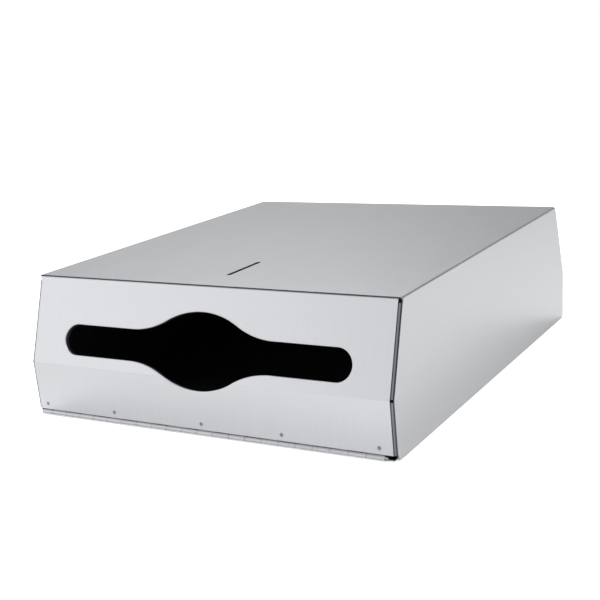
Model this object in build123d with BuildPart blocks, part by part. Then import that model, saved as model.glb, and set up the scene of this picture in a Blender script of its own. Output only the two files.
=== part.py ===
from build123d import *
import os
from math import asin, atan2, cos, degrees, sin, tan

# Paper towel dispenser of folded stainless sheet, lying on its back.
# The back is at Z = 0 with +Z out of the wall, the towel tray faces -Y, and the lock is at +Y.
# The whole cover, with the tray welded to it, swings on a long hinge at the tray's wall edge.

# Cover
cover_width = 286.0        # over the two side panels
cover_length = 356.0       # from the fold of one end to the fold of the other
cover_depth = 100.0        # from the wall to the front panel
skirt_height = 40.0        # from the wall to the fold of each end
skirt_undercut = 2.0       # how far each end leans in from its fold to the wall
end_inset = 20.0           # how far each end leans in from its fold to the front panel
sheet = 0.8
bend_radius = 1.2          # outside radius of every fold
wall_gap = 0.4             # raw edges of the cover stay this far off the wall
side_corner = 3.5          # rounding of the side panels' corners at the wall
flange_width = 12.0        # flanges turned in from the side panels at both ends
flange_leg = 5.0           # stretch of side panel that each flange run carries with it
bend_relief = 1.4          # how far the side panels are cut back beside a fold
corner_notch = 2.4         # opening under each corner of the front panel
relief_radius = 1.0        # hole where a flange's two runs meet
relief_offset = 1.4        # from the side panel's outer face to that hole
relief_slit = 0.6          # slit from that hole across the flange
leaf_room_start = 2.8      # from the side panel's outer face to the room for the hinge leaf
slit_length = 43.0         # refill slit in the front panel
slit_width = 3.2
slit_start = 28.5          # from the front panel's edge at the tray

# Towel tray
tray_side_gap = 2.4        # from the side panel's outer face to the tray's edge
tray_edge = 4.4            # height of the tray's raw edge above the wall
tray_flange = 11.0         # flange turned in under the front panel
tray_corner = 2.0          # rounding of that flange's corners
slot_length = 227.0
slot_height = 21.6
slot_rise = 19.0           # from the tray's fold up the slope to the slot's middle
finger_height = 52.2       # finger opening in the middle of the slot
finger_spread = 56.0       # half of the width over which it runs out into the slot
lip_depth = 3.2            # rim of the opening turned in
lip_radius = 0.7
weld_radius = 1.7          # marks of the spot welds that hold the hinge leaf
weld_depth = 0.12
weld_height = 8.6
weld_places = (-0.468, -0.256, 0.0, 0.217, 0.459)    # as shares of the cover's width

# Hinge
knuckle_radius = 1.6
leaf_thickness = 0.7
leaf_width = 14.0
knuckle_pitch = 12.6
knuckle_gap = 0.3
first_knuckle = 9.9        # the hinge is cut from a longer strip, so its first knuckle is short
hinge_inset = 3.7          # from the side panel's outer face to the hinge's left end
curl = 300.0               # degrees that each knuckle wraps round the pin
leaf_clearance = 0.3
pin_play = 0.05
pin_chamfer = 0.3
pin_left_end = 0.4         # how far the pin stands out of the hinge at each end
pin_right_end = 2.0

# Back plate
plate_side_gap = 0.8       # between the plate's side flanges and the side panels
plate_end_gap = 1.4        # between the plate's top flange and the cover's flanges
plate_flange = 12.0
plate_flange_setback = 8.0
lock_notch_width = 32.0
lock_notch_floor = 3.0
mount_spacing_x = 200.0
mount_spacing_y = 250.0
mount_hole_radius = 3.5

# Lock
lock_height = 20.0         # of the lock's axis above the wall, measured at the skirt
lock_head_radius = 9.5
lock_head_thickness = 1.6
lock_head_edge = 0.5
barrel_radius = 8.0
barrel_flats = 14.0
barrel_length = 16.0
barrel_play = 0.1
nut_across_flats = 22.0
nut_thickness = 3.0
nut_play = 0.05
nut_chamfer = 0.3
plug_radius = 5.5
plug_play = 0.05
plug_head_radius = 6.6
plug_head_depth = 1.2
plug_dish = 0.3
plug_step = 0.3            # how far the plug stands out behind the barrel
keyway_width = 2.0
keyway_height = 7.6
keyway_depth = 13.5
tail_size = 6.0
tail_play = 0.05
wafer_count = 5
wafer_pitch = 2.1
wafer_start = 3.6          # from the skirt's outer face to the first wafer
wafer_thickness = 0.7
wafer_width = 6.2
wafer_play = 0.05
wafer_window_width = 2.2
wafer_window_height = 5.4
wafer_cuts = (0.0, 0.5, -0.4, 0.3, -0.6)
groove_depth = 1.0
stop_ring_height = 1.3
stop_ring_radius = 6.1
stop_tab_width = 3.0
stop_tab_inset = 0.2       # from the barrel's outside to the end of the stop tab
stop_washer_play = 0.05
stop_washer_thickness = 1.0
stop_play = 1.0            # degrees between the stop tab and each end of its travel
lock_turn = 90.0
cam_thickness = 2.0
cam_reach = 16.0           # from the lock's axis to the cam's tip
cam_half_width = 6.5
stack_gap = 0.1            # between the pieces stacked on the plug's tail
washer_thickness = 0.9
washer_radius = 4.0
washer_split = 0.8
screw_radius = 1.95
screw_play = 0.05
screw_length = 6.0
screw_head_radius = 3.9
screw_head_height = 2.4
screw_head_edge = 0.8
screw_recess = 1.0

# Strike that the cam turns under
strike_thickness = 1.2
strike_length = 12.0
strike_foot = 12.0
strike_cam_gap = 0.5
strike_side_gap = 1.5      # between the strike's lip and the open cam as the cover lifts
strike_tip_gap = 1.3

# Places worked out from the sizes
lower_lean = atan2(skirt_undercut, skirt_height)
upper_lean = atan2(end_inset, cover_depth - skirt_height)
lock_proud = (lock_head_thickness * cos(lower_lean) + (lock_head_radius - lock_head_edge) * sin(lower_lean)
              - skirt_undercut * (1 - lock_height / skirt_height))
y_near = -(cover_length + lock_proud) / 2
y_far = y_near + cover_length
y_middle = (y_near + y_far) / 2
fold_line = bend_radius - sheet / 2
side_middle = cover_width / 2 - sheet / 2
tray_half = cover_width / 2 - tray_side_gap
flange_bottom = tray_edge
flange_top = cover_depth - bend_radius - corner_notch


def near_end(inward, bottom, top):
    """Outline of the near end between two heights, set inward square to each of its two planes."""
    rise = inward * (1 / cos(lower_lean) - 1 / cos(upper_lean)) / (tan(lower_lean) + tan(upper_lean))
    fold_height = skirt_height + rise
    fold_y = y_near + inward / cos(lower_lean) - rise * tan(lower_lean)
    return [
        (fold_y + (fold_height - bottom) * tan(lower_lean), bottom),
        (fold_y, fold_height),
        (fold_y + (top - fold_height) * tan(upper_lean), top),
    ]


def far_end(inward, bottom, top):
    """The same outline at the far end."""
    return [(2 * y_middle - y, z) for y, z in near_end(inward, bottom, top)]


def run_plane(start, end):
    """Plane square to a run of the near end, with its own Y pointing into the dispenser."""
    return Plane(origin=(0, *start), x_dir=(1, 0, 0), z_dir=(0, end[0] - start[0], end[1] - start[1]))


# Side flanges: one folded run on each plane of the near end, then the same at every corner
with BuildPart() as side_flanges:
    corner_points = near_end(sheet, flange_bottom, flange_top)
    for start, end in zip(corner_points, corner_points[1:]):
        with BuildSketch(run_plane(start, end)):
            with BuildLine():
                FilletPolyline(
                    (cover_width / 2 - flange_width, sheet / 2),
                    (side_middle, sheet / 2),
                    (side_middle, flange_leg),
                    radius=fold_line,
                )
            trace(line_width=sheet)
        extrude(amount=(Vector(*end) - Vector(*start)).length)
    with BuildSketch(Plane.XZ.offset(-y_near)):
        with Locations((cover_width / 2 - relief_offset, skirt_height)):
            Circle(relief_radius)
            Rectangle(flange_width, relief_slit, align=(Align.MAX, Align.CENTER))
        # Room for the hinge leaf that is welded to the tray
        with Locations((cover_width / 2 - leaf_room_start, 0)):
            Rectangle(flange_width, tray_edge + leaf_width, align=(Align.MAX, Align.MIN))
    extrude(amount=-flange_leg, mode=Mode.SUBTRACT)
    mirror(about=Plane.YZ)
    mirror(about=Plane.XZ.offset(-y_middle))

# Front panel and side panels, cut back beside the folds of both ends
with BuildPart() as side_panels:
    with BuildSketch(Plane.XZ.offset(-y_far)):
        with BuildLine():
            FilletPolyline(
                (-side_middle, 0),
                (-side_middle, cover_depth - sheet / 2),
                (side_middle, cover_depth - sheet / 2),
                (side_middle, 0),
                radius=fold_line,
            )
        trace(line_width=sheet)
    extrude(amount=cover_length)
    with BuildSketch(Plane.YZ) as side_outline:
        cut_back = sheet + bend_relief
        bend_start = cover_depth - bend_radius
        with BuildLine():
            Polyline(
                *near_end(cut_back, wall_gap, bend_start),
                (y_near + end_inset, bend_start),
                (y_near + end_inset, cover_depth),
                *reversed(far_end(cut_back, wall_gap, cover_depth)),
                close=True,
            )
        make_face()
        fillet(side_outline.vertices().group_by(Axis.Y)[0], radius=side_corner)
    extrude(amount=cover_width, both=True, mode=Mode.INTERSECT)

# Plane of the lock on the far skirt, with its own Y pointing up the skirt
lock_plane = Plane(
    origin=(0, y_far - skirt_undercut * (1 - lock_height / skirt_height), lock_height),
    x_dir=(-1, 0, 0),
    z_dir=(0, cos(lower_lean), -sin(lower_lean)),
)

# Cover: front, sides and far end folded from one sheet
with BuildPart() as cover_shell:
    with BuildSketch(Plane.YZ):
        with BuildLine():
            FilletPolyline(
                (y_near + end_inset, cover_depth - sheet / 2),
                *reversed(far_end(sheet / 2, wall_gap, cover_depth - sheet / 2)),
                radius=fold_line,
            )
        trace(line_width=sheet)
    extrude(amount=tray_half, both=True)
    add(side_panels.part)
    add(side_flanges.part)
    with BuildSketch(Plane.XY.offset(cover_depth)):
        with Locations((0, y_near + end_inset + slit_start + slit_length / 2)):
            SlotOverall(slit_length, slit_width, rotation=90)
    extrude(amount=-2 * sheet, mode=Mode.SUBTRACT)
    with BuildSketch(lock_plane):
        Circle(barrel_radius + barrel_play)
        Rectangle(2 * lock_head_radius, barrel_flats + 2 * barrel_play, mode=Mode.INTERSECT)
    extrude(amount=2 * sheet, both=True, mode=Mode.SUBTRACT)
cover_shell.part.label = "cover_shell"

# Outline of the tray's opening: a round-ended slot that swells to a finger opening
finger_step = (finger_height - slot_height) / 2
finger_radius = (finger_spread**2 + finger_step**2) / (4 * finger_step)
finger_angle = degrees(asin(finger_spread / (2 * finger_radius)))
with BuildSketch() as opening_outline:
    with BuildLine():
        crest = JernArc((0, finger_height / 2), (1, 0), finger_radius, -finger_angle)
        hollow = JernArc(crest @ 1, crest % 1, finger_radius, finger_angle)
        straight = Line(hollow @ 1, ((slot_length - slot_height) / 2, slot_height / 2))
        JernArc(straight @ 1, (1, 0), slot_height / 2, -90)
        mirror(about=Plane.XZ)
        mirror(about=Plane.YZ)
    make_face()

# Plane of the opening on the tray's upper face, with its own Y pointing up the slope
opening_plane = Plane(
    origin=(0, y_near + slot_rise * sin(upper_lean), skirt_height + slot_rise * cos(upper_lean)),
    x_dir=(1, 0, 0),
    z_dir=(0, -cos(upper_lean), sin(upper_lean)),
)
tray_top = cover_depth - sheet
tray_flange_end = near_end(0, tray_edge, tray_top)[2][0] + tray_flange

# What is pared away behind the tray's sheet, all but the rim turned in round the opening
with BuildPart() as behind_tray:
    with BuildSketch(Plane.YZ):
        with BuildLine():
            skin = FilletPolyline(
                *near_end(sheet, 0, tray_top - sheet),
                (tray_flange_end + sheet, tray_top - sheet),
                radius=bend_radius - sheet,
            )
            Polyline(skin @ 1, (tray_flange_end + sheet, 0), skin @ 0)
        make_face()
    extrude(amount=cover_width, both=True)
    with BuildSketch(opening_plane):
        add(opening_outline.sketch)
        offset(amount=sheet)
    extrude(amount=cover_depth, both=True, mode=Mode.SUBTRACT)
    with BuildSketch(Plane.YZ):
        with BuildLine():
            Polyline(
                *near_end(lip_depth, 0, tray_top - sheet),
                (tray_flange_end + sheet, tray_top - sheet),
                (tray_flange_end + sheet, 0),
                close=True,
            )
        make_face()
    extrude(amount=cover_width, both=True)


def depth_in_tray(edge):
    """How far an edge's middle lies behind the tray's outer face."""
    point = edge @ 0.5
    behind_lower = (point.Y - y_near) * cos(lower_lean) - (skirt_height - point.Z) * sin(lower_lean)
    behind_upper = (point.Y - y_near) * cos(upper_lean) - (point.Z - skirt_height) * sin(upper_lean)
    return min(behind_lower, behind_upper)


# Towel tray: two planes and a flange folded from one sheet, with the opening's rim turned in
with BuildPart() as towel_tray:
    with BuildSketch(Plane.YZ):
        with BuildLine():
            skin = FilletPolyline(
                *near_end(0, tray_edge, tray_top),
                (tray_flange_end, tray_top),
                radius=bend_radius,
            )
            Polyline(skin @ 1, (tray_flange_end, tray_edge), skin @ 0)
        make_face()
    extrude(amount=tray_half, both=True)
    with BuildSketch(opening_plane):
        add(opening_outline.sketch)
    extrude(amount=cover_depth / 2, both=True, mode=Mode.SUBTRACT)
    rim = towel_tray.edges(Select.LAST).filter_by(lambda edge: depth_in_tray(edge) < sheet / 2)
    fillet(rim, radius=lip_radius)
    add(behind_tray.part, mode=Mode.SUBTRACT)
    fillet(towel_tray.edges().filter_by(Axis.Z).group_by(Axis.Y)[-1], radius=tray_corner)
    # Marks of the spot welds on the hinge leaf behind
    dish_radius = (weld_radius**2 + weld_depth**2) / (2 * weld_depth)
    weld_y = near_end(weld_depth - dish_radius, weld_height, tray_top)[0][0]
    with Locations([(share * cover_width, weld_y, weld_height) for share in weld_places]):
        Sphere(dish_radius, mode=Mode.SUBTRACT)
towel_tray.part.label = "towel_tray"

# Hinge axis: the leaf welded behind the tray runs down the back of the barrel
axis_inward = sheet + leaf_thickness - knuckle_radius
axis_height = sheet + knuckle_radius
axis_y = near_end(axis_inward, axis_height, tray_top)[0][0]
hinge_left = hinge_inset - cover_width / 2
whole_knuckles = int((cover_width - 2 * hinge_inset - first_knuckle) // knuckle_pitch)
knuckle_edges = [hinge_left] + [
    hinge_left + first_knuckle + knuckle_pitch * step for step in range(whole_knuckles + 1)
]


def hinge_leaf(plane, first):
    """A leaf with every second knuckle, from the plane at the pin whose own Y runs up the leaf."""
    curl_radius = knuckle_radius - leaf_thickness / 2
    with BuildPart() as leaf:
        with BuildSketch(plane.offset(hinge_left)):
            with Locations((curl_radius, knuckle_radius + leaf_clearance)):
                Rectangle(leaf_thickness, leaf_width, align=(Align.CENTER, Align.MIN))
        extrude(amount=knuckle_edges[-1] - hinge_left)
        for left, right in list(zip(knuckle_edges, knuckle_edges[1:]))[first::2]:
            with BuildSketch(plane.offset(left + knuckle_gap / 2)):
                with BuildLine():
                    Line((curl_radius, leaf_width / 2), (curl_radius, 0))
                    CenterArc((0, 0), curl_radius, 0, -curl)
                trace(line_width=leaf_thickness)
            extrude(amount=right - left - knuckle_gap)
    return leaf.part


# Tray leaf and back leaf, with their knuckles in turn along the pin
tray_leaf_plane = Plane(
    origin=(0, axis_y, axis_height),
    x_dir=(0, cos(lower_lean), sin(lower_lean)),
    z_dir=(1, 0, 0),
)
hinge_tray_leaf = hinge_leaf(tray_leaf_plane, 1)
hinge_tray_leaf.label = "hinge_tray_leaf"
back_leaf_plane = Plane(origin=(0, axis_y, axis_height), x_dir=(0, 0, -1), z_dir=(1, 0, 0))
hinge_back_leaf = hinge_leaf(back_leaf_plane, 0)
hinge_back_leaf.label = "hinge_back_leaf"

# Hinge pin, standing out a little at both ends
with BuildPart() as hinge_pin:
    pin_radius = knuckle_radius - leaf_thickness - pin_play
    with BuildSketch(back_leaf_plane.offset(hinge_left - pin_left_end)):
        Circle(pin_radius)
    extrude(amount=knuckle_edges[-1] - hinge_left + pin_left_end + pin_right_end)
    chamfer(hinge_pin.edges().filter_by(GeomType.CIRCLE), length=pin_chamfer)
hinge_pin.part.label = "hinge_pin"

# Back plate: base, two side flanges and a top flange folded from one sheet
plate_half = cover_width / 2 - sheet - plate_side_gap
plate_near = axis_y + knuckle_radius + leaf_clearance
plate_far = y_far - skirt_undercut - 2 * sheet - plate_end_gap
with BuildPart() as back_plate:
    with BuildSketch(Plane.XZ.offset(-plate_far + plate_flange_setback)):
        with BuildLine():
            FilletPolyline(
                (sheet / 2 - plate_half, plate_flange),
                (sheet / 2 - plate_half, sheet / 2),
                (plate_half - sheet / 2, sheet / 2),
                (plate_half - sheet / 2, plate_flange),
                radius=fold_line,
            )
        trace(line_width=sheet)
    extrude(amount=plate_far - plate_near - 2 * plate_flange_setback)
    with BuildSketch(Plane.YZ):
        with BuildLine():
            FilletPolyline(
                (plate_near, sheet / 2),
                (plate_far - sheet / 2, sheet / 2),
                (plate_far - sheet / 2, plate_flange),
                radius=fold_line,
            )
        trace(line_width=sheet)
    extrude(amount=plate_half - bend_relief, both=True)
    with BuildSketch(Plane.XZ.offset(-plate_far)):
        with Locations((0, lock_notch_floor)):
            Rectangle(lock_notch_width, plate_flange, align=(Align.CENTER, Align.MIN))
    extrude(amount=2 * sheet, mode=Mode.SUBTRACT)
    with Locations((0, y_middle, sheet)):
        with GridLocations(mount_spacing_x, mount_spacing_y, 2, 2):
            Hole(mount_hole_radius)
back_plate.part.label = "back_plate"

# Lock barrel: head outside the skirt, threaded body with two flats, stop ring at its back
barrel_end = lock_plane.offset(-barrel_length)
tab_half_angle = degrees(asin(stop_tab_width / 2 / stop_ring_radius))
with BuildPart() as lock_barrel:
    with BuildSketch(lock_plane):
        Circle(lock_head_radius)
    extrude(amount=lock_head_thickness)
    chamfer(lock_barrel.edges().filter_by(GeomType.CIRCLE).sort_by(Axis.Y)[-1], length=lock_head_edge)
    with BuildSketch(lock_plane):
        Circle(barrel_radius)
        Rectangle(2 * barrel_radius, barrel_flats, mode=Mode.INTERSECT)
    extrude(amount=-barrel_length - stop_ring_height)
    with BuildSketch(barrel_end):
        Circle(stop_ring_radius)
        with BuildLine():
            window = CenterArc((0, 0), 2 * barrel_radius, -90 - tab_half_angle - stop_play,
                               lock_turn + 2 * tab_half_angle + 2 * stop_play)
            Polyline(window @ 1, (0, 0), window @ 0)
        make_face()
    extrude(amount=-stop_ring_height, mode=Mode.SUBTRACT)
    with Locations(lock_plane.offset(lock_head_thickness)):
        CounterBoreHole(plug_radius + plug_play, plug_head_radius + plug_play, plug_head_depth)
    with BuildSketch(lock_plane.offset(-wafer_start)):
        Rectangle(wafer_width, 2 * (plug_radius + groove_depth))
    extrude(amount=-wafer_pitch * wafer_count, mode=Mode.SUBTRACT)
lock_barrel.part.label = "lock_barrel"

# Hexagon nut that clamps the barrel to the skirt
with BuildPart() as lock_nut:
    with BuildSketch(lock_plane.offset(-sheet)):
        RegularPolygon(nut_across_flats / 2, 6, major_radius=False)
        Circle(barrel_radius + nut_play, mode=Mode.SUBTRACT)
    extrude(amount=-nut_thickness)
    chamfer(lock_nut.edges().filter_by(GeomType.CIRCLE), length=nut_chamfer)
lock_nut.part.label = "lock_nut"

# Plug: head and cylinder with the keyway and wafer slots, and a square tail with a tapped hole
tail_start = -barrel_length - plug_step
washer_start = tail_start - stop_washer_thickness - stack_gap
cam_start = washer_start - cam_thickness - stack_gap
tail_end = cam_start - stack_gap
wafer_planes = [lock_plane.offset(-wafer_start - wafer_pitch * step) for step in range(wafer_count)]
with BuildPart() as lock_plug:
    with BuildSketch(lock_plane.offset(lock_head_thickness)):
        Circle(plug_head_radius)
    extrude(amount=-plug_head_depth)
    with BuildSketch(lock_plane.offset(lock_head_thickness - plug_head_depth)):
        Circle(plug_radius)
    extrude(amount=tail_start - lock_head_thickness + plug_head_depth)
    with BuildSketch(lock_plane.offset(tail_start)):
        Rectangle(tail_size, tail_size)
    extrude(amount=tail_end - tail_start)
    with BuildSketch(lock_plane.offset(lock_head_thickness)):
        Rectangle(keyway_width, keyway_height)
    extrude(amount=-keyway_depth, mode=Mode.SUBTRACT)
    for wafer_plane in wafer_planes:
        with BuildSketch(wafer_plane):
            Rectangle(wafer_width + 2 * wafer_play, 3 * plug_radius)
        extrude(amount=-wafer_thickness - 2 * wafer_play, mode=Mode.SUBTRACT)
    with BuildSketch(lock_plane.offset(tail_end)):
        Circle(screw_radius + screw_play)
    extrude(amount=screw_length, mode=Mode.SUBTRACT)
lock_plug.part.label = "lock_plug"


def lock_wafer(plane, cut):
    """A brass wafer that slides in the plug, its window set up or down for the key."""
    with BuildPart() as wafer:
        with BuildSketch(plane.offset(-wafer_play)):
            Circle(plug_radius - wafer_play)
            Rectangle(wafer_width, 2 * plug_radius, mode=Mode.INTERSECT)
            with Locations((0, cut)):
                Rectangle(wafer_window_width, wafer_window_height, mode=Mode.SUBTRACT)
        extrude(amount=-wafer_thickness)
    return wafer.part


# Stop washer, whose tab travels in the window of the barrel's stop ring
with BuildPart() as stop_washer:
    with BuildSketch(lock_plane.offset(tail_start)):
        Circle(stop_ring_radius - stop_washer_play)
        Rectangle(stop_tab_width, barrel_radius - stop_tab_inset, align=(Align.CENTER, Align.MAX))
        Rectangle(tail_size + 2 * tail_play, tail_size + 2 * tail_play, mode=Mode.SUBTRACT)
    extrude(amount=-stop_washer_thickness)
stop_washer.part.label = "stop_washer"

# Cam, pointing to the wall while the lock is open
with BuildPart() as lock_cam:
    with BuildSketch(lock_plane.offset(washer_start)):
        Circle(cam_half_width)
        with Locations((0, cam_half_width - cam_reach)):
            Circle(cam_half_width)
        make_hull()
        Rectangle(tail_size + 2 * tail_play, tail_size + 2 * tail_play, mode=Mode.SUBTRACT)
    extrude(amount=-cam_thickness)
lock_cam.part.label = "lock_cam"

# Spring washer, split and flat under the screw
with BuildPart() as spring_washer:
    with BuildSketch(lock_plane.offset(tail_end)):
        Circle(washer_radius)
        Circle(screw_radius + screw_play, mode=Mode.SUBTRACT)
        Rectangle(washer_split, 2 * washer_radius, align=(Align.CENTER, Align.MIN), mode=Mode.SUBTRACT)
    extrude(amount=-washer_thickness)
spring_washer.part.label = "spring_washer"

# Screw that holds the cam on the plug's tail
with BuildPart() as cam_screw:
    with BuildSketch(lock_plane.offset(tail_end - washer_thickness)):
        Circle(screw_head_radius)
    extrude(amount=-screw_head_height)
    head_rim = cam_screw.edges().filter_by(GeomType.CIRCLE).sort_by(Axis.Y)[0]
    chamfer(head_rim, length=screw_head_edge)
    with BuildSketch(lock_plane.offset(tail_end - washer_thickness - screw_head_height)):
        Rectangle(screw_head_radius, screw_recess)
        Rectangle(screw_recess, screw_head_radius)
    extrude(amount=screw_head_height / 2, mode=Mode.SUBTRACT)
    with BuildSketch(lock_plane.offset(tail_end - washer_thickness)):
        Circle(screw_radius)
    extrude(amount=screw_length + washer_thickness - screw_play)
cam_screw.part.label = "cam_screw"

# Strike: foot on the back plate, riser beyond the cam's tip and a lip that the cam turns under
cam_middle = lock_plane.offset(washer_start - cam_thickness / 2).origin
strike_lip_height = cam_middle.Z + cam_half_width + strike_cam_gap
strike_riser = -cam_reach - strike_tip_gap
with BuildPart() as strike_bracket:
    with BuildSketch(Plane.XZ.offset(-cam_middle.Y)):
        with BuildLine():
            FilletPolyline(
                (strike_riser - strike_foot, sheet + strike_thickness / 2),
                (strike_riser - strike_thickness / 2, sheet + strike_thickness / 2),
                (strike_riser - strike_thickness / 2, strike_lip_height + strike_thickness / 2),
                (-cam_half_width - strike_side_gap, strike_lip_height + strike_thickness / 2),
                radius=strike_thickness,
            )
        trace(line_width=strike_thickness)
    extrude(amount=strike_length / 2, both=True)
strike_bracket.part.label = "strike_bracket"

pieces = [
    cover_shell.part, towel_tray.part, back_plate.part, strike_bracket.part,
    hinge_tray_leaf, hinge_back_leaf, hinge_pin.part,
    lock_barrel.part, lock_nut.part, lock_plug.part, stop_washer.part, lock_cam.part,
    spring_washer.part, cam_screw.part,
]
for number, (wafer_plane, cut) in enumerate(zip(wafer_planes, wafer_cuts), start=1):
    wafer = lock_wafer(wafer_plane, cut)
    wafer.label = f"lock_wafer_{number}"
    pieces.append(wafer)

os.makedirs("parts", exist_ok=True)
for piece in pieces:
    export_step(piece, f"parts/{piece.label}.step")
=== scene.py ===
from math import cos, radians, sin

import bpy
import numpy as np
from bpy.props import FloatProperty, FloatVectorProperty, PointerProperty
from mathutils import Matrix, Vector


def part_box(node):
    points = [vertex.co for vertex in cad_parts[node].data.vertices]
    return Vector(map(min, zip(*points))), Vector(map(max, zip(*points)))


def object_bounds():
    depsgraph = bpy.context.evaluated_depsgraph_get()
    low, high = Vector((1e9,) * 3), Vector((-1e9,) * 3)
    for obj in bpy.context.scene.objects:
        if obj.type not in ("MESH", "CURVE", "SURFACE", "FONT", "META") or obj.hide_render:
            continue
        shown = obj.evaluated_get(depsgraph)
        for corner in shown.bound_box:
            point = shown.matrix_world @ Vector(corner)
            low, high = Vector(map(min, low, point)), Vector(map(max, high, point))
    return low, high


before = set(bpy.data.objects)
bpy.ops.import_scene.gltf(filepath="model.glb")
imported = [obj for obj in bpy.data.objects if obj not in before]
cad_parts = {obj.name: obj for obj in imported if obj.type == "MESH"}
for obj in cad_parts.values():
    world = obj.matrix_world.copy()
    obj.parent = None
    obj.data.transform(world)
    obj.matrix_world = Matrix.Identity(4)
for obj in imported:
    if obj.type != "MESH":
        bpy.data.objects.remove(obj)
cad_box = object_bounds()

bl_info = {
    "name": "Paper towel dispenser",
    "version": (1, 0, 0),
    "blender": (4, 5, 0),
    "location": "View3D > Sidebar > Dispenser",
    "description": "Dresses the frame of a folded stainless paper towel dispenser and sets its stage",
    "category": "Object",
}

MM = 0.001

SHEET = 0.8 * MM
INSIDE_REACH = 30 * MM    # faces that look outwards by less than this, from the middle, are inside
SIDEWAYS = 0.5            # share of a face's normal along X from which it is a side of the sheet
LEANING = 0.3             # share along a direction from which a face leans that way
TURNING = 0.35            # and from which a fold has begun to turn
SQUARE = 0.7              # and from which a cut edge faces it

WELD_SHARES = (-0.468, -0.256, 0.0, 0.217, 0.459)    # the tray's spot welds, as shares of the width
WELD_HEIGHT = 8.6 * MM
WELD_RADIUS = 1.7 * MM

GRAIN_SHADE = 0.025       # how far a brushed line is lighter or darker than the sheet
GRAIN_ROUGHNESS = 0.02    # how far it is duller or shinier
GRAIN_BUMP = 0.12         # how strongly it bends what the sheet mirrors
GRAIN_DEPTH = 0.02 * MM

ROOM_TINT = (0.97, 0.98, 1.0, 1.0)
WALL_EDGE = 0.35          # share of a ray's way towards the bright wall where the wall begins
WALL_FULL = 0.95          # and where it is fully bright
FLOOR_DROP = 0.2 * MM     # the floor lies this far under the back plate
FLOOR_LIFT = 0.65         # light added to the floor for the camera alone, so that it looks white


def linear(colour):
    """Turns an sRGB hex colour into Blender's linear numbers."""
    channels = np.array([int(colour[at:at + 2], 16) for at in (1, 3, 5)]) / 255
    curved = ((channels + 0.055) / 1.055) ** 2.4
    return tuple(np.where(channels <= 0.04045, channels / 12.92, curved).tolist())


def colour_property(name, description, colour):
    """A colour that a user can change, from its sRGB hex value."""
    return FloatVectorProperty(name=name, description=description, subtype="COLOR", size=3,
                               min=0.0, max=1.0, default=linear(colour))


class DispenserFinish(bpy.types.PropertyGroup):
    """Colours and grain of the dispenser's metals, with painted shade on its inside, flange strips,
    edges and bends.
    """

    satin_colour: colour_property("Satin stainless", "Outside of the folded sheets", "#DDDEE0")
    # Inside grey: the mill finish's own duller tone, darkened by painted shade within the closed box.
    mill_and_inner_shade_colour: colour_property("Mill stainless", "Inside of the folded sheets", "#85878E")
    # Painted shade on the flange strips beside the tray; also the real grey of the weld spots.
    strip_shade_and_weld_colour: colour_property("Flange strip", "Flanges that show beside the tray", "#8E8F97")
    # Painted shade of the gap on cut edges, and a painted dark reflection in the tight bends.
    edge_and_bend_shade_colour: colour_property("Edges", "Sheared edges and tight bends beside the tray", "#53545C")
    hinge_colour: colour_property("Hinge stainless", "Leaves of the long hinge", "#D2D3D6")
    pin_colour: colour_property("Pin stainless", "Drawn wire of the hinge pin", "#B9BABD")
    zinc_colour: colour_property("Zinc plate", "Cam, washers and nut", "#B7BBC2")
    nickel_colour: colour_property("Nickel plate", "Barrel and plug of the lock", "#C9C8C4")
    brass_colour: colour_property("Brass", "Wafers of the lock", "#C8A862")
    grain_width: FloatProperty(name="Grain width", description="Width of a brushed line",
                               unit="LENGTH", default=0.9 * MM, min=0.01 * MM)
    grain_length: FloatProperty(name="Grain length", description="Length of a brushed line",
                                unit="LENGTH", default=70 * MM, min=1 * MM)
    satin_roughness: FloatProperty(name="Satin roughness",
                                   description="Roughness of the brushed outside",
                                   subtype="FACTOR", default=0.34, min=0.0, max=1.0)
    mill_roughness: FloatProperty(name="Mill roughness",
                                  description="Roughness of the rolled inside",
                                  subtype="FACTOR", default=0.5, min=0.0, max=1.0)


class DispenserStage(bpy.types.PropertyGroup):
    """Sizes and light of the stage, and the photograph's camera."""

    floor_size: FloatProperty(name="Floor", description="Side of the square floor",
                              unit="LENGTH", default=8.0, min=1.0)
    floor_colour: colour_property("Floor", "Plain pale floor", "#F4F4F4")
    camera_place: FloatVectorProperty(name="Camera", description="Where the camera stands",
                                      subtype="XYZ", unit="LENGTH",
                                      default=(0.4176, -0.7576, 0.2645))
    camera_azimuth: FloatProperty(name="Azimuth", description="Turn of the camera round the dispenser",
                                  subtype="ANGLE", default=radians(29.97))
    camera_elevation: FloatProperty(name="Elevation", description="How far the camera looks down",
                                    subtype="ANGLE", default=radians(13.85))
    camera_roll: FloatProperty(name="Roll", description="Tilt of the camera about its line of sight",
                               subtype="ANGLE", default=radians(-4.02))
    camera_lens: FloatProperty(name="Lens", description="Focal length in millimetres",
                               default=67.52, min=1.0)
    room_level: FloatProperty(name="Room", description="Brightness of the room that the metal mirrors",
                              default=0.31, min=0.0)
    wall_level: FloatProperty(name="Bright wall",
                              description="Brightness of its wall to the front left",
                              default=1.17, min=0.0)
    wall_direction: FloatVectorProperty(name="Wall direction",
                                        description="Where the bright wall stands",
                                        subtype="DIRECTION", default=(-0.9, -0.436, 0.0))
    key_place: FloatVectorProperty(name="Key place",
                                   description="Soft box high behind on the left",
                                   subtype="XYZ", unit="LENGTH", default=(-0.55, 0.7, 1.4))
    key_size: FloatProperty(name="Key size", description="Side of the key soft box",
                            unit="LENGTH", default=0.8, min=0.01)
    key_power: FloatProperty(name="Key power", description="Power of the key soft box",
                             subtype="POWER", unit="POWER", default=12.5, min=0.0)
    fill_place: FloatVectorProperty(name="Fill place",
                                    description="Soft box high in front on the right",
                                    subtype="XYZ", unit="LENGTH", default=(0.6, -0.8, 1.4))
    fill_size: FloatProperty(name="Fill size", description="Side of the fill soft box",
                             unit="LENGTH", default=1.2, min=0.01)
    fill_power: FloatProperty(name="Fill power", description="Power of the fill soft box",
                              subtype="POWER", unit="POWER", default=14.0, min=0.0)


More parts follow.
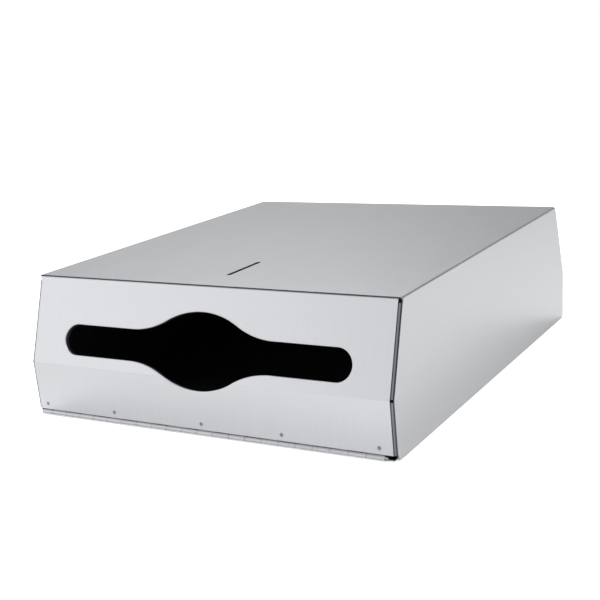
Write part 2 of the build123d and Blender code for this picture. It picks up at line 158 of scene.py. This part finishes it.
def add(tree, kind, links=None, **settings):
    """Adds a node with its settings, and gives each input in links a value or another node's socket.

    A node stands for its first output. Inputs are given by name or place. Those of a Mix are 0 for
    the factor, 2 and 3 for numbers, and 6 and 7 for colours. Those of a Map Range are 0 for the
    value, 1 and 2 for its limits, and 3 and 4 for what they become.
    """
    made = tree.nodes.new(kind)
    for key, value in settings.items():
        setattr(made, key, value)
    for key, value in (links or {}).items():
        if isinstance(value, bpy.types.Node):
            value = value.outputs[0]
        if isinstance(value, bpy.types.NodeSocket):
            tree.links.new(value, made.inputs[key])
        else:
            made.inputs[key].default_value = value
    return made


def past(tree, value, limit):
    """1 where a value, of either sign, is past a limit."""
    size = add(tree, "ShaderNodeMath", {0: value}, operation="ABSOLUTE")
    return add(tree, "ShaderNodeMath", {0: size, 1: limit}, operation="GREATER_THAN")


def metal(name, colour, roughness):
    """A plain metal: its material, its node tree and its shader."""
    material = bpy.data.materials.new(name)
    material.use_nodes = True
    tree = material.node_tree
    shader = tree.nodes["Principled BSDF"]
    shader.inputs["Metallic"].default_value = 1.0
    shader.inputs["Base Color"].default_value = (*colour, 1.0)
    shader.inputs["Roughness"].default_value = roughness
    return material, tree, shader


def paint(material, *nodes):
    """Gives CAD nodes one material."""
    for node in nodes:
        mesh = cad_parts[node].data
        mesh.materials.clear()
        mesh.materials.append(material)


def lines_along_sheet(tree, place, facing, width, length):
    """Grain of a folded sheet, from 0 to 1: noise drawn out along the dispenser.

    Across is X on the front, the ends and the back, and Z on the sides. Along is Y plus Z, or Y on
    the sides.
    """
    at = add(tree, "ShaderNodeSeparateXYZ", {0: place}).outputs
    turned = add(tree, "ShaderNodeSeparateXYZ", {0: facing}).outputs
    on_side = past(tree, turned[0], SIDEWAYS)
    slope = add(tree, "ShaderNodeMath", {0: at[1], 1: at[2]}, operation="ADD")
    across = add(tree, "ShaderNodeMix", {0: on_side, 2: at[0], 3: at[2]})
    along = add(tree, "ShaderNodeMix", {0: on_side, 2: slope, 3: at[1]})
    lines_across = add(tree, "ShaderNodeMath", {0: across, 1: width}, operation="DIVIDE")
    lines_along = add(tree, "ShaderNodeMath", {0: along, 1: length}, operation="DIVIDE")
    flat = add(tree, "ShaderNodeCombineXYZ", {0: lines_across, 1: lines_along})
    noise = add(tree, "ShaderNodeTexNoise",
                {"Vector": flat, "Scale": 1.0, "Detail": 3.0, "Roughness": 0.6})
    return noise.outputs["Fac"]


def no_marks(tree, place, facing):
    """A sheet without marks."""
    return []


def cover_painted_shade(tree, place, facing):
    """Beside the tray the flanges get painted shade, and tight bends a painted dark reflection of the
    gap.

    The cut edge of the front panel gets painted gap shade. It looks towards the tray, within a sheet
    of the top.
    """
    finish = bpy.context.scene.dispenser_finish
    at = add(tree, "ShaderNodeSeparateXYZ", {0: place}).outputs
    turned = add(tree, "ShaderNodeSeparateXYZ", {0: facing}).outputs
    tray_half, top = float(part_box("towel_tray")[1][0]), float(cad_box[1][2])
    # strip: painted shade on the flanges that show beside the tray.
    beside_tray = past(tree, at[0], tray_half)
    to_tray = add(tree, "ShaderNodeMath", {0: turned[1], 1: -LEANING}, operation="LESS_THAN")
    strip = add(tree, "ShaderNodeMath", {0: to_tray, 1: beside_tray}, operation="MULTIPLY")
    # bend: painted dark reflection of the gap in the tight bends beside the tray.
    turning = past(tree, turned[0], TURNING)
    bend = add(tree, "ShaderNodeMath", {0: strip, 1: turning}, operation="MULTIPLY")
    # cut_edge: painted gap shade on the front panel's cut edge.
    on_top = add(tree, "ShaderNodeMath", {0: at[2], 1: top - 1.1 * SHEET}, operation="GREATER_THAN")
    square = add(tree, "ShaderNodeMath", {0: turned[1], 1: -SQUARE}, operation="LESS_THAN")
    cut_edge = add(tree, "ShaderNodeMath", {0: square, 1: on_top}, operation="MULTIPLY")
    return [(strip, finish.strip_shade_and_weld_colour), (bend, finish.edge_and_bend_shade_colour),
            (cut_edge, finish.edge_and_bend_shade_colour)]


def tray_edge_shade_and_welds(tree, place, facing):
    """The tray's cut side edges get painted gap shade, and each spot weld leaves a small grey spot.

    A spot fades between 0.6 of its radius and the whole of it, measured from its centre in X and Z.
    """
    finish = bpy.context.scene.dispenser_finish
    at = add(tree, "ShaderNodeSeparateXYZ", {0: place}).outputs
    turned = add(tree, "ShaderNodeSeparateXYZ", {0: facing}).outputs
    tray_half, width = float(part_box("towel_tray")[1][0]), float(cad_box[1][0] - cad_box[0][0])
    # cut_edge: painted gap shade on the tray's cut side edges.
    at_side = past(tree, at[0], tray_half - 0.1 * SHEET)
    square = past(tree, turned[0], SQUARE)
    cut_edge = add(tree, "ShaderNodeMath", {0: square, 1: at_side}, operation="MULTIPLY")
    marks = [(cut_edge, finish.edge_and_bend_shade_colour)]
    upright = add(tree, "ShaderNodeCombineXYZ", {0: at[0], 2: at[2]})
    for share in WELD_SHARES:
        weld = (share * width, 0.0, WELD_HEIGHT)
        far = add(tree, "ShaderNodeVectorMath", {0: upright, 1: weld}, operation="DISTANCE")
        spot = add(tree, "ShaderNodeMapRange",
                   {0: far.outputs["Value"], 1: WELD_RADIUS, 2: 0.6 * WELD_RADIUS})
        marks.append((spot, finish.strip_shade_and_weld_colour))
    return marks


def folded_sheet(name, colour, marks=no_marks):
    """Satin stainless sheet: belt-brushed outside, dull mill finish and painted shade inside, and its
    marks.

    The brushing gives long faint lines that blur what the sheet mirrors. Real lines are about
    0.1 mm wide. They are drawn 0.9 mm wide, about a pixel of the render, so that they show.
    A face is inside where its way from the dispenser's middle, times its normal, is small.
    """
    finish = bpy.context.scene.dispenser_finish
    material, tree, shader = metal(name, colour, finish.satin_roughness)
    coordinates = add(tree, "ShaderNodeTexCoord")
    place, facing = coordinates.outputs["Object"], coordinates.outputs["Normal"]
    grain = lines_along_sheet(tree, place, facing, finish.grain_width, finish.grain_length)
    middle = tuple((cad_box[0] + cad_box[1]) / 2)
    from_middle = add(tree, "ShaderNodeVectorMath", {0: place, 1: middle}, operation="SUBTRACT")
    outwards = add(tree, "ShaderNodeVectorMath", {0: from_middle, 1: facing},
                   operation="DOT_PRODUCT")
    inside = add(tree, "ShaderNodeMath", {0: outwards.outputs["Value"], 1: INSIDE_REACH},
                 operation="LESS_THAN")
    shade = add(tree, "ShaderNodeMapRange",
                {0: grain, 1: 0.25, 2: 0.75, 3: 1 - GRAIN_SHADE, 4: 1 + GRAIN_SHADE})
    brushed = add(tree, "ShaderNodeMix", {0: 1.0, 6: (*colour, 1.0), 7: shade},
                  data_type="RGBA", blend_type="MULTIPLY")
    # Inside faces take the mill grey, darkened as painted shade within the closed box.
    face = add(tree, "ShaderNodeMix",
               {0: inside, 6: brushed.outputs[2], 7: (*finish.mill_and_inner_shade_colour, 1.0)},
               data_type="RGBA")
    # These lay painted shade, painted dark reflections and the real weld spots over the face.
    for where, shade_and_mark_colour in marks(tree, place, facing):
        face = add(tree, "ShaderNodeMix",
                   {0: where, 6: face.outputs[2], 7: (*shade_and_mark_colour, 1.0)},
                   data_type="RGBA")
    tree.links.new(face.outputs[2], shader.inputs["Base Color"])
    rough = add(tree, "ShaderNodeMapRange",
                {0: grain, 1: 0.25, 2: 0.75,
                 3: finish.satin_roughness - GRAIN_ROUGHNESS,
                 4: finish.satin_roughness + GRAIN_ROUGHNESS})
    rough_face = add(tree, "ShaderNodeMix", {0: inside, 2: rough, 3: finish.mill_roughness})
    tree.links.new(rough_face.outputs[0], shader.inputs["Roughness"])
    bump = add(tree, "ShaderNodeBump",
               {"Height": grain, "Strength": GRAIN_BUMP, "Distance": GRAIN_DEPTH})
    tree.links.new(bump.outputs[0], shader.inputs["Normal"])
    return material


def worn_metal(name, colour, roughness, patch, contrast):
    """A small turned, drawn or plated piece. Cloudy patches shade and dull it, as handling does."""
    material, tree, shader = metal(name, colour, roughness)
    coordinates = add(tree, "ShaderNodeTexCoord")
    cloud = add(tree, "ShaderNodeTexNoise",
                {"Vector": coordinates.outputs["Object"], "Scale": 1 / patch, "Detail": 3.0})
    cloudiness = cloud.outputs["Fac"]
    shade = add(tree, "ShaderNodeMapRange",
                {0: cloudiness, 1: 0.3, 2: 0.7, 3: 1 - contrast, 4: 1.0})
    tinted = add(tree, "ShaderNodeMix", {0: 1.0, 6: (*colour, 1.0), 7: shade},
                 data_type="RGBA", blend_type="MULTIPLY")
    rough = add(tree, "ShaderNodeMapRange",
                {0: cloudiness, 1: 0.3, 2: 0.7, 3: roughness + contrast / 2, 4: roughness})
    tree.links.new(tinted.outputs[2], shader.inputs["Base Color"])
    tree.links.new(rough.outputs[0], shader.inputs["Roughness"])
    return material


class DISPENSER_OT_cover(bpy.types.Operator):
    """Brushes the cover's front, sides and far end"""

    bl_idname = "dispenser.cover"
    bl_label = "Cover"

    def execute(self, context):
        satin = context.scene.dispenser_finish.satin_colour
        paint(folded_sheet("Cover: 304 stainless sheet, satin brushed", satin, cover_painted_shade),
              "cover_shell")
        return {"FINISHED"}


class DISPENSER_OT_tray(bpy.types.Operator):
    """Brushes the towel tray"""

    bl_idname = "dispenser.tray"
    bl_label = "Towel tray"

    def execute(self, context):
        satin = context.scene.dispenser_finish.satin_colour
        paint(folded_sheet("Tray: 304 stainless sheet, satin brushed", satin, tray_edge_shade_and_welds),
              "towel_tray")
        return {"FINISHED"}


class DISPENSER_OT_back(bpy.types.Operator):
    """Finishes the back plate and its strike"""

    bl_idname = "dispenser.back"
    bl_label = "Back plate"

    def execute(self, context):
        finish = context.scene.dispenser_finish
        paint(folded_sheet("Back plate: 304 stainless sheet, satin brushed", finish.satin_colour),
              "back_plate")
        # Rolled and left as the mill made it: a dull, even grey, darkened by painted shade inside the
        # box.
        paint(worn_metal("Strike: stainless strip, mill finish", finish.mill_and_inner_shade_colour,
                         roughness=0.42, patch=6 * MM, contrast=0.08),
              "strike_bracket")
        return {"FINISHED"}


class DISPENSER_OT_hinge(bpy.types.Operator):
    """Finishes the long hinge and its pin"""

    bl_idname = "dispenser.hinge"
    bl_label = "Hinge"

    def execute(self, context):
        finish = context.scene.dispenser_finish
        # Rolled smoother than the sheets and not brushed: a soft sheen without lines.
        paint(worn_metal("Hinge: stainless strip, rolled", finish.hinge_colour,
                         roughness=0.3, patch=9 * MM, contrast=0.06),
              "hinge_tray_leaf", "hinge_back_leaf")
        # Drawn through a die: smooth, a little darker than the leaves.
        paint(worn_metal("Hinge pin: stainless wire, drawn", finish.pin_colour,
                         roughness=0.3, patch=3 * MM, contrast=0.06),
              "hinge_pin")
        return {"FINISHED"}


class DISPENSER_OT_lock(bpy.types.Operator):
    """Plates the cam lock and its wafers"""

    bl_idname = "dispenser.lock"
    bl_label = "Lock"

    def execute(self, context):
        finish = context.scene.dispenser_finish
        # Plated over a polished casting: a clear mirror, faintly warm.
        paint(worn_metal("Lock: zinc die casting, nickel plated", finish.nickel_colour,
                         roughness=0.18, patch=4 * MM, contrast=0.05),
              "lock_barrel", "lock_plug")
        # Plated in zinc and left plain: a bluish grey with cloudy patches.
        paint(worn_metal("Lock fittings: steel, zinc plated", finish.zinc_colour,
                         roughness=0.38, patch=3 * MM, contrast=0.12),
              "lock_nut", "lock_cam", "stop_washer", "spring_washer", "cam_screw")
        # Stamped from rolled brass: yellow, with a satin sheen.
        wafers = [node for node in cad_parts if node.startswith("lock_wafer")]
        paint(worn_metal("Wafers: brass strip, stamped", finish.brass_colour,
                         roughness=0.32, patch=2 * MM, contrast=0.1),
              *wafers)
        return {"FINISHED"}


def soft_box(scene, name, place, size, power):
    """A square lamp aimed at the middle of the back plate. The camera doesn't see it."""
    lamp = bpy.data.lights.new(name, "AREA")
    lamp.shape = "SQUARE"
    lamp.size = size
    lamp.energy = power
    held = bpy.data.objects.new(name, lamp)
    held.location = place
    held.rotation_euler = (-Vector(place)).to_track_quat("-Z", "Y").to_euler()
    held.visible_camera = False
    scene.collection.objects.link(held)


def light_world(scene, stage):
    """White for the camera. The metal mirrors a pale room, with a wide bright wall, front left."""
    world = bpy.data.worlds.new("Pale studio")
    world.use_nodes = True
    scene.world = world
    tree = world.node_tree
    tree.nodes.clear()
    direction = add(tree, "ShaderNodeTexCoord").outputs["Generated"]
    towards_wall = add(tree, "ShaderNodeVectorMath",
                       {0: direction, 1: tuple(stage.wall_direction)},
                       operation="DOT_PRODUCT")
    level = add(tree, "ShaderNodeMapRange",
                {0: towards_wall.outputs["Value"], 1: WALL_EDGE, 2: WALL_FULL,
                 3: stage.room_level, 4: stage.wall_level},
                interpolation_type="SMOOTHSTEP")
    room = add(tree, "ShaderNodeBackground", {"Color": ROOM_TINT, "Strength": level})
    white = add(tree, "ShaderNodeBackground", {"Color": (1.0, 1.0, 1.0, 1.0), "Strength": 1.0})
    rays = add(tree, "ShaderNodeLightPath")
    seen = add(tree, "ShaderNodeMixShader", {0: rays.outputs["Is Camera Ray"], 1: room, 2: white})
    add(tree, "ShaderNodeOutputWorld", {0: seen})


def lay_floor(scene, size, colour):
    """A plain pale floor just under the back plate.

    Matt paper gives no mirror image. The camera sees it lifted to white, with its shadow kept.
    """
    half = size / 2
    corners = [(x * half, y * half, -FLOOR_DROP) for x, y in ((-1, -1), (1, -1), (1, 1), (-1, 1))]
    mesh = bpy.data.meshes.new("Floor")
    mesh.from_pydata(corners, [], [(0, 1, 2, 3)])
    floor = bpy.data.objects.new("Floor", mesh)
    scene.collection.objects.link(floor)
    material = bpy.data.materials.new("Floor: matt white paper")
    material.use_nodes = True
    tree = material.node_tree
    shader = tree.nodes["Principled BSDF"]
    shader.inputs["Base Color"].default_value = (*colour, 1.0)
    shader.inputs["Roughness"].default_value = 0.9
    shader.inputs["Specular IOR Level"].default_value = 0.0
    rays = add(tree, "ShaderNodeLightPath")
    lift = add(tree, "ShaderNodeMath", {0: rays.outputs["Is Camera Ray"], 1: FLOOR_LIFT},
               operation="MULTIPLY")
    glow = add(tree, "ShaderNodeEmission", {0: (1.0, 1.0, 1.0, 1.0), 1: lift})
    both = add(tree, "ShaderNodeAddShader", {0: shader, 1: glow})
    tree.links.new(both.outputs[0], tree.nodes["Material Output"].inputs[0])
    mesh.materials.append(material)


def stand_camera(scene, stage):
    """The photograph's camera: down by the elevation, from the azimuth, leaning by the roll."""
    turn, down, lean = stage.camera_azimuth, stage.camera_elevation, stage.camera_roll
    level = Vector((cos(turn), sin(turn), 0))
    above = Vector((-sin(turn) * sin(down), cos(turn) * sin(down), cos(down)))
    right = level * cos(lean) + above * sin(lean)
    up = above * cos(lean) - level * sin(lean)
    camera = bpy.data.cameras.new("Camera")
    camera.lens = stage.camera_lens
    held = bpy.data.objects.new("Camera", camera)
    turned = Matrix((right, up, right.cross(up))).transposed().to_4x4()
    held.matrix_world = Matrix.Translation(stage.camera_place) @ turned
    scene.collection.objects.link(held)
    scene.camera = held


class DISPENSER_OT_stage(bpy.types.Operator):
    """Lays the floor, hangs the lamps and stands the camera"""

    bl_idname = "dispenser.stage"
    bl_label = "Stage"

    def execute(self, context):
        scene = context.scene
        stage = scene.dispenser_stage
        scene.view_settings.view_transform = "Standard"
        light_world(scene, stage)
        lay_floor(scene, stage.floor_size, stage.floor_colour)
        soft_box(scene, "Key soft box", stage.key_place, stage.key_size, stage.key_power)
        soft_box(scene, "Fill soft box", stage.fill_place, stage.fill_size, stage.fill_power)
        stand_camera(scene, stage)
        return {"FINISHED"}


OPERATORS = (DISPENSER_OT_cover, DISPENSER_OT_tray, DISPENSER_OT_back, DISPENSER_OT_hinge,
             DISPENSER_OT_lock, DISPENSER_OT_stage)


class DISPENSER_PT_panel(bpy.types.Panel):
    """Lists the dispenser's pieces, their finish and the stage"""

    bl_idname = "DISPENSER_PT_panel"
    bl_label = "Paper towel dispenser"
    bl_space_type = "VIEW_3D"
    bl_region_type = "UI"
    bl_category = "Dispenser"

    def draw(self, context):
        for operator in OPERATORS:
            self.layout.operator(operator.bl_idname)
        for group in (context.scene.dispenser_finish, context.scene.dispenser_stage):
            for key in group.__annotations__:
                self.layout.prop(group, key)


CLASSES = (DispenserFinish, DispenserStage, *OPERATORS, DISPENSER_PT_panel)


def register():
    for kind in CLASSES:
        bpy.utils.register_class(kind)
    bpy.types.Scene.dispenser_finish = PointerProperty(type=DispenserFinish)
    bpy.types.Scene.dispenser_stage = PointerProperty(type=DispenserStage)


def unregister():
    del bpy.types.Scene.dispenser_stage
    del bpy.types.Scene.dispenser_finish
    for kind in reversed(CLASSES):
        bpy.utils.unregister_class(kind)


def main():
    """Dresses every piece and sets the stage."""
    register()
    bpy.ops.dispenser.cover()
    bpy.ops.dispenser.tray()
    bpy.ops.dispenser.back()
    bpy.ops.dispenser.hinge()
    bpy.ops.dispenser.lock()
    bpy.ops.dispenser.stage()


if __name__ == "__main__":
    main()
